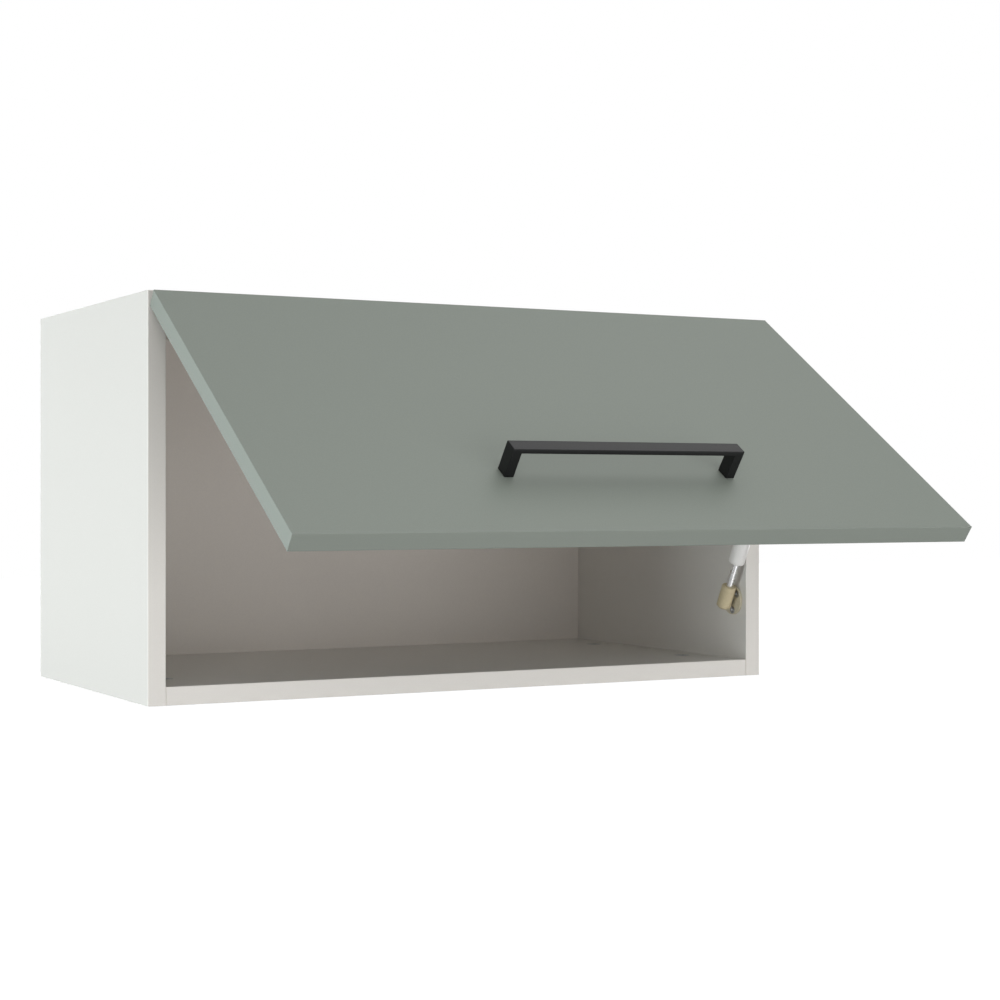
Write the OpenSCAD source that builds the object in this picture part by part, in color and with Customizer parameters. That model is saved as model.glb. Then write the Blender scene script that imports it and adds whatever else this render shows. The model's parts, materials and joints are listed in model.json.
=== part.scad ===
// Wall cabinet with one lift-up door, a gas strut and two concealed cup hinges.
// Every module is written in cabinet coordinates: x from the middle of the
// width, y from the front edges of the carcass towards the wall, z up from the
// underside. in_row() then moves the whole cabinet so that the origin is the
// middle of the back, on the wall.

/* [Carcass] */
// Width over the two side panels
body_w = 600; // [500:50:900]
// Height of the side panels
body_h = 330; // [320:10:400]
// Depth of the side panels with their edge band, without the back panel
body_d = 290; // [270:10:350]
// Thickness of the carcass boards
board_t = 15; // [14:1:18]
// Thickness of the edge banding on the carcass and the door
band_t = 1; // [0.5:0.5:2]
// Thickness of the back panel
back_t = 3; // [3:1:6]
// Distance of the back panel from the outside of the carcass
back_inset = 2; // [0:0.5:4]

/* [Door] */
// Thickness of the door
door_t = 15; // [15:1:20]
// Gap between the closed door and the carcass front
door_gap = 2.8; // [2.6:0.1:3]
// Gap beside the door, inside the carcass width
side_reveal = 1; // [0:0.5:3]
// Gap from the top of the carcass down to the door
top_reveal = 2; // [1:0.5:3]
// Gap from the underside of the carcass up to the door
bottom_reveal = 1; // [0:0.5:3]
// Angle from closed at which the door stands
door_angle = 55; // [0:1:75]
// Door pivot, in front of the carcass
pivot_out = 12.4; // [12.3:0.1:12.6]
// Door pivot, below the top of the carcass
pivot_drop = 8.8; // [8.6:0.1:9.2]

/* [Handle] */
// Length of the handle
handle_l = 208; // [120:4:300]
// Width of the handle bar
handle_w = 12; // [8:1:16]
// Height of the handle off the door
handle_out = 25; // [20:1:35]
// Thickness of the grip bar
handle_bar_t = 4; // [3:0.5:6]
// Width of each handle leg
handle_leg = 8; // [7:1:12]
// Distance from the lower edge of the door up to the middle of the handle
handle_up = 73.3; // [40:0.1:120]

/* [Gas strut] */
// Distance of the strut's axis from the side panel
strut_off = 9.5; // [9:0.5:14]
// Lower ball, behind the carcass front
ball_back = 19.5; // [18:0.5:40]
// Lower ball, below the top of the carcass
ball_drop = 260.5; // [240:0.5:270]
// Upper stud, down from the top of the door
stud_down = 94; // [90:1:100]
// Upper stud, off the inner face of the door
stud_off = 25; // [22:1:30]
// Diameter of the cylinder
cylinder_d = 15; // [12:1:16]
// Length of the cylinder
cylinder_l = 139; // [130:1:140]
// Diameter of the piston rod
rod_d = 6; // [5:0.5:8]
// Diameter of the two end sockets
socket_d = 13.3; // [12.3:0.1:14]
// Diameter of the balls
ball_d = 8; // [7:0.5:9]
// Radius of the round plate that carries the lower ball
plate_r = 13.8; // [13.4:0.1:16]

/* [Hinges] */
// Distance of each hinge from the outside of the carcass
hinge_in = 100; // [70:5:140]
// Diameter of the hinge cup
cup_d = 35; // [35:1:36]
// Depth of the hinge cup
cup_depth = 12.9; // [12.9:0.1:13.2]
// Distance from the top of the door to the cup
cup_edge = 3; // [3:0.1:3.4]
// Distance of the plate screws from the carcass front
plate_back = 37; // [37:1:45]

/* [Wall hangers] */
// Length of a hanger plate's legs
hanger_l = 46; // [42:1:56]
// Diameter of the eye for the wall hook
hanger_eye_d = 9; // [7:0.5:10]
// Distance of the eye from the outer edges of the hanger plate
hanger_eye_in = 20; // [20:0.5:22]

/* [Hidden] */
$fn = 48;

fit = 0.05;            // radial clearance of a pin, screw or dowel in its hole
run = 0.3;             // clearance between pieces that pass each other

// Carcass
half_w = body_w / 2;
in_x = half_w - board_t;                 // inner face of a side panel
in_top = body_h - board_t;               // underside of the top panel
wall_y = body_d + back_t;                // back of the back panel, on the wall
back_half_w = half_w - back_inset;
back_low = back_inset;
back_high = body_h - back_inset;

// Carcass joints
cam_r = 7.5;
cam_depth = 12;
cam_sunk = 0.2;                          // cam's face below the panel's
cam_in = 24;                             // cam centre from the panel's end
cam_from_edge = 68;                      // cam centre from the front and from the rear
bolt_r = 3.5;
bolt_neck_r = 2.2;
bolt_head_l = 3;
bolt_thread_r = 2.5;
bolt_thread_l = 9.5;
dowel_r = 4;
dowel_in_panel = 18;
dowel_in_side = 10;
dowel_from_edge = 36;
cam_ys = [cam_from_edge, body_d - cam_from_edge];
dowel_ys = [dowel_from_edge, body_d - dowel_from_edge];

// Wood screws: shank radius, head radius, length
screw_small = [1.4, 3, 12];
screw_plate = [1.5, 3.5, 13];
screw_pitch_r = 9.6;                     // strut plate's screws from its centre

// Door, closed
door_in_y = -door_gap;
door_out_y = -door_gap - door_t;
door_top = body_h - top_reveal;
door_low = bottom_reveal;
door_half_w = half_w - side_reveal;
pivot = [-pivot_out, body_h - pivot_drop];

// A point [y, z] of the closed door, when the door has opened by an angle
function turned(v, a) = [v.x * cos(a) + v.y * sin(a), -v.x * sin(a) + v.y * cos(a)];
function opened(p, a) = pivot + turned(p - pivot, a);
// Angle from upright, leaning forwards, of the line from one point to another
function lean(from, to) = atan2(from.x - to.x, to.y - from.y);

// Handle
handle_z = door_low + handle_up;
handle_screw_r = 2;
handle_screw_in = 8;
handle_head_r = 4;
handle_head_t = 2.2;
handle_head_edge = 0.8;
handle_centre = handle_l / 2 - handle_leg / 2;
handle_edge = 0.4;

// Bumpers
bumper_r = 4;
bumper_t = door_gap - run;
bumper_up = 22;

// Hinges
hinge_x = half_w - hinge_in;
cup_r = cup_d / 2;
cup_z = door_top - cup_edge - cup_r;
cup_wall = 0.8;
cup_flange_t = 1;
cup_flange_over = 1.5;
cup_wing_x = 24;                         // cup screws from the hinge's middle
cup_wing_r = 6;
cup_wing_drop = 5.5;                     // cup screws below the cup's centre
neck_half = 4;                           // half width of the arm's neck
neck_t = 3;
neck_bend_r = 6;                         // bend of the neck's middle line
eye_r = 2.2;
hinge_pin_r = 1.1;
hinge_pin_half = 8;
cheek_from = 9;                          // cup's cheeks, from its centre to its edge
neck_back = 16;                          // neck's end inside the arm's channel
arm_half = 9.5;
arm_wall = 1.2;
plate_t = 2;
plate_wing_y = 7;
plate_screw_x = 16;
rail_half = 7.9;
rail_front = 12;                         // rail's ends from the plate's screws
rail_rear = 20;
rail_y = [plate_back - rail_front, plate_back + rail_rear];
arm_drop = 11.5;
arm_low = in_top - arm_drop;             // outside of the arm's web
arm_web_top = arm_low + arm_wall;
arm_high = in_top - 4.5;
arm_front = 5;                           // arm's front end behind the carcass front
arm_slope = 10;                          // slope of the arm's sides at the front
arm_past_plate = 24;                     // arm's rear end past the plate's screws
arm_y = [arm_front, plate_back + arm_past_plate];
neck_bend = [pivot.x + neck_bend_r, arm_low + neck_t / 2 + neck_bend_r];

// Gas strut
strut_x = in_x - strut_off;
ball_r = ball_d / 2;
socket_r = socket_d / 2;
socket_above = 15;                       // socket beyond the ball, towards the strut
socket_below = 8;
socket_edge = 0.8;
lower_ball = [ball_back, body_h - ball_drop];
upper_stud_closed = [door_in_y + stud_off, door_top - stud_down];
upper_stud = opened(upper_stud_closed, door_angle);
strut_l = norm(upper_stud - lower_ball);
strut_lean = lean(lower_ball, upper_stud);
cylinder_r = cylinder_d / 2;
cylinder_wall = 1.2;
cylinder_top = strut_l - socket_above;
cylinder_low = cylinder_top - cylinder_l;
cylinder_round = 2.5;
guide_l = 8;
cylinder_head = 6;
rod_r = rod_d / 2;
rod_seat = 6;                            // rod's end above the lower ball
rod_top = 92;
piston_l = 8;
ball_neck_r = 2.2;
side_plate_t = 2;
socket_hole_r = ball_r + fit;
tail_seat_r = 3;                         // stud on the cylinder's end, in the socket
tail_seat_l = 7;

// Door bracket for the upper stud
leg_t = 2;
stud_flange_r = 5;
stud_flange_t = 1.8;
stud_flange_x = strut_x - socket_r - 0.6 - stud_flange_t;  // flange's inner face
leg_x = stud_flange_x - run;             // leg's face towards the strut
bracket_w = 24;
foot_corner_r = 4;
leg_past_stud = 32;                      // leg's end, off the door past the stud
leg_up = stud_off + leg_past_stud;
leg_tip_r = 9;
leg_above = 26;                          // leg's root, above and below the stud
leg_below = 24;
leg_z = [upper_stud_closed.y + leg_above, upper_stud_closed.y - leg_below];
leg_tip_down = 11;                       // leg's tip below the stud
leg_tip_z = upper_stud_closed.y - leg_tip_down;
bracket_screw_in = 15;                   // bracket's screws from the leg
bracket_screw_above = 16;                // and above and below the stud
bracket_screw_below = 15;
bracket_screw_x = leg_x - bracket_screw_in;
bracket_screw_z = [upper_stud_closed.y + bracket_screw_above,
    upper_stud_closed.y - bracket_screw_below];

// Hanger plates
hanger_t = 2;
hanger_leg = 12;
hanger_gap = 1;                          // back panel's notch round the plate
hanger_screw_in = [22, 38];              // along the top leg, from the corner
hanger_screw_down = [12, 34];            // along the side leg
hanger_screw_edge = board_t / 2 - back_inset;

// Colours
c_board = [0.93, 0.93, 0.91];
c_band = [0.85, 0.84, 0.81];
c_door = [0.52, 0.57, 0.53];
c_black = [0.16, 0.16, 0.16];
c_steel = [0.72, 0.73, 0.75];
c_tan = [0.66, 0.62, 0.50];
c_white = [0.95, 0.95, 0.94];
c_wood = [0.80, 0.66, 0.45];

// ---------- Helpers ----------

module in_row() translate([0, -wall_y, -body_h / 2]) children();

module on_door() translate([0, pivot.x, pivot.y]) rotate([-door_angle, 0, 0])
    translate([0, -pivot.x, -pivot.y]) children();

// A slab from one corner to the other
module slab(x, y, z) translate([x[0], y[0], z[0]])
    cube([x[1] - x[0], y[1] - y[0], z[1] - z[0]]);

// A cylinder along x, through [y, z]
module rod_x(x, p, r) translate([x[0], p.x, p.y]) rotate([0, 90, 0])
    cylinder(h = x[1] - x[0], r = r);

// A profile drawn in y and z, made thick along x
module plate_x(x) translate([x[0], 0, 0]) rotate([90, 0, 90])
    linear_extrude(height = x[1] - x[0]) children();

// Cross recess in a head of radius r, whose face at z = 0 looks along +z
module cross_recess(r) for (a = [0, 90]) rotate(a)
    translate([-0.55 * r, -0.12 * r, -0.3 * r]) cube([1.1 * r, 0.24 * r, r]);

// Countersunk wood screw, head flat at z = 0, point towards -z
module wood_screw(s) difference() {
    rotate_extrude() polygon([[0, 0], [s[1], 0], [s[0], -(s[1] - s[0])],
        [s[0], -(s[2] - 2 * s[0])], [0, -s[2]]]);
    cross_recess(s[1]);
}

module wood_screw_hole(s) rotate_extrude() polygon([[0, 0.5], [s[1] + fit, 0.5],
    [s[1] + fit, 0], [s[0] + fit, -(s[1] - s[0])], [s[0] + fit, -(s[2] + fit)], [0, -(s[2] + fit)]]);

// Both sides of the cabinet
module both_sides() for (m = [0, 1]) mirror([m, 0, 0]) children();

// ---------- Carcass ----------

module carcass_fittings_cut() both_sides() for (z = [board_t / 2, body_h - board_t / 2]) {
    for (y = cam_ys) rod_x([in_x, in_x + bolt_thread_l + fit], [y, z], bolt_thread_r + fit);
    for (y = dowel_ys) rod_x([in_x, in_x + dowel_in_side + fit], [y, z], dowel_r + fit);
}

module side_panel() difference() {
    slab([in_x, half_w], [band_t, body_d], [0, body_h]);
    carcass_fittings_cut();
    hanger_screws_at() wood_screw_hole(screw_small);
}

module side_panel_left() color(c_board) mirror([1, 0, 0]) side_panel();

module side_panel_right() color(c_board) difference() {
    side_panel();
    side_screws_at() wood_screw_hole(screw_plate);
}

// A panel between the sides, with the cam holes opening in the face at cam_face
module cross_panel(z, cam_up) difference() {
    slab([-in_x, in_x], [band_t, body_d], z);
    both_sides() {
        for (y = cam_ys) {
            cam_at(y, z, cam_up) translate([0, 0, -cam_depth - fit])
                cylinder(h = cam_depth + fit + 1, r = cam_r + fit);
            rod_x([in_x - cam_in, in_x + 1], [y, (z[0] + z[1]) / 2], bolt_r + fit);
        }
        for (y = dowel_ys)
            rod_x([in_x - dowel_in_panel - fit, in_x + 1], [y, (z[0] + z[1]) / 2], dowel_r + fit);
    }
}

// Cam frame: z = 0 on the face that the cam opens in, -z into the board
module cam_at(y, z, cam_up) translate([in_x - cam_in, y, cam_up ? z[1] : z[0]])
    mirror([0, 0, cam_up ? 0 : 1]) children();

top_z = [in_top, body_h];
bottom_z = [0, board_t];

module top_panel() color(c_board) difference() {
    cross_panel(top_z, true);
    both_sides() {
        hinge_plate_screws_at() wood_screw_hole(screw_plate);
        hanger_screws_at() wood_screw_hole(screw_small);
    }
}

module bottom_panel() color(c_board) cross_panel(bottom_z, true);

module hanger_outline(grow) {
    g = grow;
    polygon([[back_half_w + g, back_high + g], [back_half_w - hanger_l - g, back_high + g],
        [back_half_w - hanger_l - g, back_high - hanger_leg - g / 2],
        [back_half_w - hanger_leg - g / 2, back_high - hanger_l - g],
        [back_half_w + g, back_high - hanger_l - g]]);
}

// A profile drawn in x and z, made thick along y
module plate_y(y) translate([0, y[1], 0]) rotate([90, 0, 0])
    linear_extrude(height = y[1] - y[0]) children();

nail_r = 0.7;
nail_head_r = 1.6;
nail_l = 20;
nail_pitch = 100;
nail_count = floor((body_w - 2 * hanger_l - 60) / (2 * nail_pitch));
nail_bottom = [for (i = [-nail_count : nail_count]) [i * nail_pitch, board_t / 2]];
nail_top = [for (i = [-1 : 1]) [i * nail_pitch, body_h - board_t / 2]];
nail_side = [for (s = [-1, 1], i = [1 : 3]) [s * (half_w - board_t / 2), i * body_h / 5]];
nails = concat(nail_bottom, nail_top, nail_side);

module nails_at() for (p = nails) translate([p.x, wall_y, p.y]) rotate([-90, 0, 0]) children();

module nail(g) rotate_extrude() polygon([[0, 0], [nail_head_r + g, 0],
    [nail_r + g, -(nail_head_r - nail_r)], [nail_r + g, -(nail_l + g)], [0, -(nail_l + g)]]);

module back_panel() color(c_board) difference() {
    slab([-back_half_w, back_half_w], [body_d, wall_y], [back_low, back_high]);
    both_sides() plate_y([body_d - 1, wall_y + 1]) hanger_outline(hanger_gap);
    nails_at() nail(fit);
}

module back_nails() color(c_steel) intersection() {
    nails_at() nail(0);
    slab([-half_w, half_w], [body_d, wall_y], [0, body_h]);
}

module edge_band_side() color(c_band) slab([in_x, half_w], [0, band_t], [0, body_h]);
module edge_band_left() mirror([1, 0, 0]) edge_band_side();
module edge_band_right() edge_band_side();
module edge_band_top() color(c_band) slab([-in_x, in_x], [0, band_t], top_z);
module edge_band_bottom() color(c_band) slab([-in_x, in_x], [0, band_t], bottom_z);

module each_cam() both_sides() for (z = [top_z, bottom_z], y = cam_ys)
    cam_at(y, z, true) children();

module cam_locks() color(c_steel) each_cam() difference() {
    translate([0, 0, -cam_depth]) cylinder(h = cam_depth - cam_sunk, r = cam_r);
    translate([0, 0, -board_t / 2]) rotate([0, 90, 0]) cylinder(h = cam_r + 1, r = bolt_r + 0.2);
    translate([0, 0, -board_t / 2]) sphere(r = bolt_r + 0.2);
    translate([0, 0, -cam_sunk]) rotate(45) cross_recess(cam_r);
}

module cam_bolts() color(c_steel) each_cam() translate([0, 0, -board_t / 2]) rotate([0, 90, 0])
    rotate_extrude() polygon([[0, -1], [bolt_r - 0.3, -1], [bolt_r - 0.3, bolt_head_l - 1],
        [bolt_neck_r, bolt_head_l - 1], [bolt_neck_r, cam_r + 1], [bolt_r, cam_r + 1],
        [bolt_r, cam_in], [bolt_thread_r, cam_in], [bolt_thread_r, cam_in + bolt_thread_l - 1],
        [bolt_thread_r - 1, cam_in + bolt_thread_l], [0, cam_in + bolt_thread_l]]);

module wood_dowels() color(c_wood) both_sides()
    for (z = [board_t / 2, body_h - board_t / 2], y = dowel_ys)
        translate([in_x - dowel_in_panel, y, z]) rotate([0, 90, 0])
            rotate_extrude() polygon([[0, 0], [dowel_r - 1, 0], [dowel_r, 1],
                [dowel_r, dowel_in_panel + dowel_in_side - 1],
                [dowel_r - 1, dowel_in_panel + dowel_in_side], [0, dowel_in_panel + dowel_in_side]]);

// ---------- Wall hangers ----------

// Hanger screw frame: z = 0 on the wall side of the plate, -z into the board
module hanger_screws_at() {
    y = body_d + hanger_t;
    for (u = hanger_screw_in)
        translate([back_half_w - u, y, back_high - hanger_screw_edge]) rotate([-90, 0, 0]) children();
    for (w = hanger_screw_down)
        translate([back_half_w - hanger_screw_edge, y, back_high - w]) rotate([-90, 0, 0]) children();
}

module hanger_plate() color(c_steel) difference() {
    plate_y([body_d, body_d + hanger_t]) hanger_outline(0);
    translate([back_half_w - hanger_eye_in, body_d - 1, back_high - hanger_eye_in])
        rotate([-90, 0, 0]) cylinder(h = hanger_t + 2, r = hanger_eye_d / 2);
    hanger_screws_at() wood_screw_hole(screw_small);
}

module hanger_plate_left() mirror([1, 0, 0]) hanger_plate();
module hanger_plate_right() hanger_plate();
module hanger_screws() color(c_steel) both_sides() hanger_screws_at() wood_screw(screw_small);

// ---------- Hinges ----------

module hinge_plate_screws_at() for (s = [-1, 1])
    translate([hinge_x + s * plate_screw_x, plate_back, in_top - plate_t]) rotate([180, 0, 0]) children();

// Winged plate under the top panel, with the rail that the arm slides over
module hinge_plate() color(c_steel) difference() {
    union() {
        translate([hinge_x, 0, 0]) {
            slab([-rail_half, rail_half], rail_y, [arm_web_top, in_top]);
            slab([-plate_screw_x, plate_screw_x], [plate_back - plate_wing_y, plate_back + plate_wing_y],
                [in_top - plate_t, in_top]);
            for (s = [-1, 1]) translate([s * plate_screw_x, plate_back, in_top - plate_t])
                cylinder(h = plate_t, r = plate_wing_y);
        }
    }
    hinge_plate_screws_at() wood_screw_hole(screw_plate);
    for (y = arm_screw_ys) arm_screw_at(y) cylinder(h = arm_screw_l + 1, r = arm_screw_r + fit);
}

module hinge_plate_left() mirror([1, 0, 0]) hinge_plate();
module hinge_plate_right() hinge_plate();
module hinge_plate_screws() color(c_steel) both_sides() hinge_plate_screws_at() wood_screw(screw_plate);

arm_screw_fore = 7;                      // adjusting screw before the plate's screws
arm_screw_back = 14;                     // fixing screw past the plate's screws
arm_screw_ys = [plate_back - arm_screw_fore, plate_back + arm_screw_back];
arm_screw_r = 2.5;
arm_screw_l = 9;
arm_screw_head_r = 4.2;
arm_screw_head_t = 1.6;
arm_screw_head_edge = 0.5;

// Arm screw frame: z = 0 on the outside of the arm's web, +z up into the rail
module arm_screw_at(y) translate([hinge_x, y, arm_low]) children();

module hinge_arm_screws() color(c_steel) both_sides() for (y = arm_screw_ys) arm_screw_at(y)
    difference() {
        rotate_extrude() polygon([[0, -arm_screw_head_t],
            [arm_screw_head_r - arm_screw_head_edge, -arm_screw_head_t],
            [arm_screw_head_r, -arm_screw_head_t + arm_screw_head_edge], [arm_screw_head_r, 0],
            [arm_screw_r, 0], [arm_screw_r, arm_screw_l], [0, arm_screw_l]]);
        translate([0, 0, -arm_screw_head_t]) rotate([180, 0, 0]) cross_recess(arm_screw_head_r);
    }

// Channel with its web away from the panel, and the neck that runs down from
// the pin, out of the cup and under the edge of the top panel. The slot for the
// fixing screw is open at the rear, so that the arm slides on
module hinge_arm() color(c_steel) translate([hinge_x, 0, 0]) difference() {
    union() {
        slab([-arm_half, arm_half], arm_y, [arm_low, arm_web_top]);
        for (x = [[-arm_half, -arm_half + arm_wall], [arm_half - arm_wall, arm_half]]) plate_x(x)
            polygon([[arm_y[0], arm_low], [arm_y[1] - 4, arm_low], [arm_y[1], arm_low + 4],
                [arm_y[1], arm_high], [arm_y[0] + arm_slope, arm_high], [arm_y[0], arm_web_top]]);
        plate_x([-neck_half, neck_half]) {
            translate(pivot) circle(r = eye_r);
            translate([pivot.x - neck_t / 2, neck_bend.y]) square([neck_t, pivot.y - neck_bend.y]);
            translate([neck_bend.x, arm_low]) square([neck_back - neck_bend.x, neck_t]);
            intersection() {
                difference() {
                    translate(neck_bend) circle(r = neck_bend_r + neck_t / 2);
                    translate(neck_bend) circle(r = neck_bend_r - neck_t / 2);
                }
                translate(neck_bend - [2 * neck_bend_r, 2 * neck_bend_r]) square(2 * neck_bend_r);
            }
        }
    }
    rod_x([-neck_half - 1, neck_half + 1], pivot, hinge_pin_r + fit);
    for (y = arm_screw_ys)
        translate([0, y, arm_low - 1]) cylinder(h = arm_wall + 2, r = arm_screw_r + fit);
    slab([-arm_screw_r - fit, arm_screw_r + fit], [arm_screw_ys[1], arm_y[1] + 1],
        [arm_low - 1, arm_web_top + 1]);
}

module hinge_arm_left() mirror([1, 0, 0]) hinge_arm();
module hinge_arm_right() hinge_arm();

// One pin across each cup, at the door's pivot
module hinge_pins() color(c_steel) on_door() both_sides() translate([hinge_x, 0, 0])
    rod_x([-hinge_pin_half, hinge_pin_half], pivot, hinge_pin_r);

// Cup frame: origin on the door's inner face at the cup's centre, +z into the door
module cup_at() translate([hinge_x, door_in_y, cup_z]) rotate([90, 0, 0]) children();

module cup_screws_at() cup_at() for (s = [-1, 1])
    translate([s * cup_wing_x, -cup_wing_drop, -cup_flange_t]) rotate([180, 0, 0]) children();

module hinge_cup() color(c_steel) on_door() difference() {
    union() {
        cup_at() cylinder(h = cup_depth, r = cup_r);
        cup_at() translate([0, 0, -cup_flange_t]) linear_extrude(height = cup_flange_t) {
            intersection() {
                circle(r = cup_r + cup_flange_over);
                translate([-cup_r * 2, -cup_r * 2]) square([cup_r * 4, cup_r * 3]);
            }
            translate([-cup_wing_x, -cup_wing_drop - cup_wing_r])
                square([2 * cup_wing_x, 2 * cup_wing_r]);
            for (s = [-1, 1]) translate([s * cup_wing_x, -cup_wing_drop]) circle(r = cup_wing_r);
        }
    }
    cup_at() translate([0, 0, -cup_flange_t - 1])
        linear_extrude(height = cup_depth + cup_flange_t + 1 - cup_wall) difference() {
            circle(r = cup_r - cup_wall);
            for (s = [-1, 1]) translate([s * (neck_half + 0.4 + cup_r) - cup_r, cheek_from])
                square([cup_d, cup_r]);
        }
    translate([hinge_x, 0, 0]) rod_x([-hinge_pin_half - fit, hinge_pin_half + fit], pivot, hinge_pin_r + fit);
    cup_screws_at() wood_screw_hole(screw_small);
}

module hinge_cup_left() mirror([1, 0, 0]) hinge_cup();
module hinge_cup_right() hinge_cup();
module hinge_cup_screws() color(c_steel) on_door() both_sides() cup_screws_at() wood_screw(screw_small);

// ---------- Gas strut ----------

// Screw frame: z = 0 on the plate's face, -z into the side panel
module side_screws_at() for (a = [35, 155, 275])
    translate([in_x - side_plate_t, lower_ball.x, lower_ball.y])
        translate(screw_pitch_r * [0, -cos(a), sin(a)]) rotate([0, -90, 0]) children();

module strut_side_plate() color(c_tan) difference() {
    translate([in_x, lower_ball.x, lower_ball.y]) rotate([0, -90, 0])
        rotate_extrude() polygon([[0, 0], [plate_r, 0], [plate_r, side_plate_t - 0.6],
            [plate_r - 0.6, side_plate_t], [0, side_plate_t]]);
    side_screws_at() wood_screw_hole(screw_plate);
    rod_x([in_x - side_plate_t - 1, in_x + 1], lower_ball, ball_neck_r + fit);
}

module ball_and_neck(tail) rotate([0, 90, 0]) {
    sphere(r = ball_r);
    cylinder(h = tail, r = ball_neck_r);
}

module strut_side_ball() color(c_steel) translate([strut_x, lower_ball.x, lower_ball.y])
    ball_and_neck(strut_off);

module strut_side_screws() color(c_steel) side_screws_at() wood_screw(screw_plate);

// Strut frame: origin on the lower ball, z along the strut
module strut_at() translate([strut_x, lower_ball.x, lower_ball.y]) rotate([strut_lean, 0, 0]) children();

// Barrel with a cross hole for the ball, open on one side
module socket(side, seat_r, seat_l) difference() {
    rotate_extrude() polygon([[0, -socket_below], [socket_r - 2, -socket_below],
        [socket_r, -socket_below + 2], [socket_r, socket_above - socket_edge],
        [socket_r - socket_edge, socket_above], [0, socket_above]]);
    rotate([0, side * 90, 0]) translate([0, 0, -ball_r - 0.2])
        cylinder(h = ball_r + socket_r + 1, r = socket_hole_r);
    translate([0, 0, socket_above - seat_l]) cylinder(h = seat_l + 1, r = seat_r + fit);
}

module strut_rod_socket() color(c_tan) strut_at() socket(1, rod_r, socket_above - rod_seat);

module strut_rod() color(c_steel) strut_at() translate([0, 0, rod_seat])
    cylinder(h = rod_top - rod_seat, r = rod_r);

module strut_piston() color(c_black) strut_at() translate([0, 0, rod_top - piston_l]) difference() {
    cylinder(h = piston_l - 0.5, r = cylinder_r - cylinder_wall - 0.1);
    translate([0, 0, -1]) cylinder(h = piston_l + 2, r = rod_r + fit);
}

module strut_cylinder() color(c_white) strut_at() {
    difference() {
        rotate_extrude() polygon(concat([[0, cylinder_low]],
            [for (a = [0 : 15 : 90]) [cylinder_r - cylinder_round + cylinder_round * sin(a),
                cylinder_low + cylinder_round - cylinder_round * cos(a)]],
            [[cylinder_r, cylinder_top - 1], [cylinder_r - 1, cylinder_top], [0, cylinder_top]]));
        translate([0, 0, cylinder_low - 1])
            cylinder(h = cylinder_l - cylinder_head + 1, r = cylinder_r - cylinder_wall);
    }
    translate([0, 0, cylinder_top]) cylinder(h = tail_seat_l, r = tail_seat_r);
}

module strut_guide() color(c_black) strut_at() translate([0, 0, cylinder_low]) difference() {
    translate([0, 0, 0.3]) cylinder(h = guide_l, r = cylinder_r - cylinder_wall - fit);
    translate([0, 0, -1]) cylinder(h = guide_l + 2, r = rod_r + fit);
}

module strut_cylinder_socket() color(c_tan) strut_at() translate([0, 0, strut_l])
    rotate([180, 0, 0]) socket(-1, tail_seat_r, tail_seat_l + 0.2);

// Rides on the strut; its flange lies against the door bracket's leg
module strut_upper_stud() color(c_steel) strut_at() translate([0, 0, strut_l]) {
    mirror([1, 0, 0]) ball_and_neck(strut_x - stud_flange_x - stud_flange_t + 0.5);
    rod_x([stud_flange_x - strut_x, stud_flange_x - strut_x + stud_flange_t], [0, 0], stud_flange_r);
}

// ---------- Door bracket ----------

module bracket_screws_at() for (z = bracket_screw_z)
    translate([bracket_screw_x, door_in_y + leg_t, z]) rotate([-90, 0, 0]) children();

// Foot of the bracket on the door, with its two free corners rounded
module bracket_foot() {
    y = [door_in_y, door_in_y + leg_t];
    corners_x = leg_x - bracket_w + foot_corner_r;
    corners_z = [leg_z[1] + foot_corner_r, leg_z[0] - foot_corner_r];
    slab([corners_x, leg_x], y, [leg_z[1], leg_z[0]]);
    slab([leg_x - bracket_w, leg_x], y, corners_z);
    for (z = corners_z)
        translate([corners_x, y[0], z]) rotate([-90, 0, 0]) cylinder(h = leg_t, r = foot_corner_r);
}

// Angle plate: its foot, and a tapered leg that the stud lies against
module door_bracket() color(c_steel) on_door() difference() {
    union() {
        bracket_foot();
        plate_x([leg_x - leg_t, leg_x]) {
            polygon([[door_in_y, leg_z[0]], [door_in_y, leg_z[1]],
                [door_in_y + leg_up - leg_tip_r, leg_tip_z - leg_tip_r],
                [door_in_y + leg_up - leg_tip_r, leg_tip_z + leg_tip_r]]);
            translate([door_in_y + leg_up - leg_tip_r, leg_tip_z]) circle(r = leg_tip_r);
        }
    }
    bracket_screws_at() wood_screw_hole(screw_small);
}

module door_bracket_screws() color(c_steel) on_door() bracket_screws_at() wood_screw(screw_small);

// ---------- Door ----------

module door_panel() color(c_door) on_door() difference() {
    slab([-door_half_w + band_t, door_half_w - band_t], [door_out_y, door_in_y],
        [door_low + band_t, door_top - band_t]);
    both_sides() {
        cup_at() translate([0, 0, -1]) cylinder(h = cup_depth + fit + 1, r = cup_r + fit);
        cup_screws_at() wood_screw_hole(screw_small);
    }
    bracket_screws_at() wood_screw_hole(screw_small);
    handle_screws_at() translate([0, 0, -door_t - 1]) cylinder(h = door_t + 2, r = handle_screw_r + 0.25);
}

module door_band_top() color(c_door) on_door() slab([-door_half_w, door_half_w],
    [door_out_y, door_in_y], [door_top - band_t, door_top]);
module door_band_bottom() color(c_door) on_door() slab([-door_half_w, door_half_w],
    [door_out_y, door_in_y], [door_low, door_low + band_t]);
module door_band_side() color(c_door) on_door() slab([door_half_w - band_t, door_half_w],
    [door_out_y, door_in_y], [door_low + band_t, door_top - band_t]);
module door_band_left() mirror([1, 0, 0]) door_band_side();
module door_band_right() door_band_side();

module door_bumpers() color(c_white) on_door() both_sides()
    translate([half_w - board_t / 2, door_in_y, door_low + bumper_up]) rotate([-90, 0, 0])
        rotate_extrude() polygon([[0, 0], [bumper_r, 0], [bumper_r - 1, bumper_t], [0, bumper_t]]);

// ---------- Handle ----------

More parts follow.
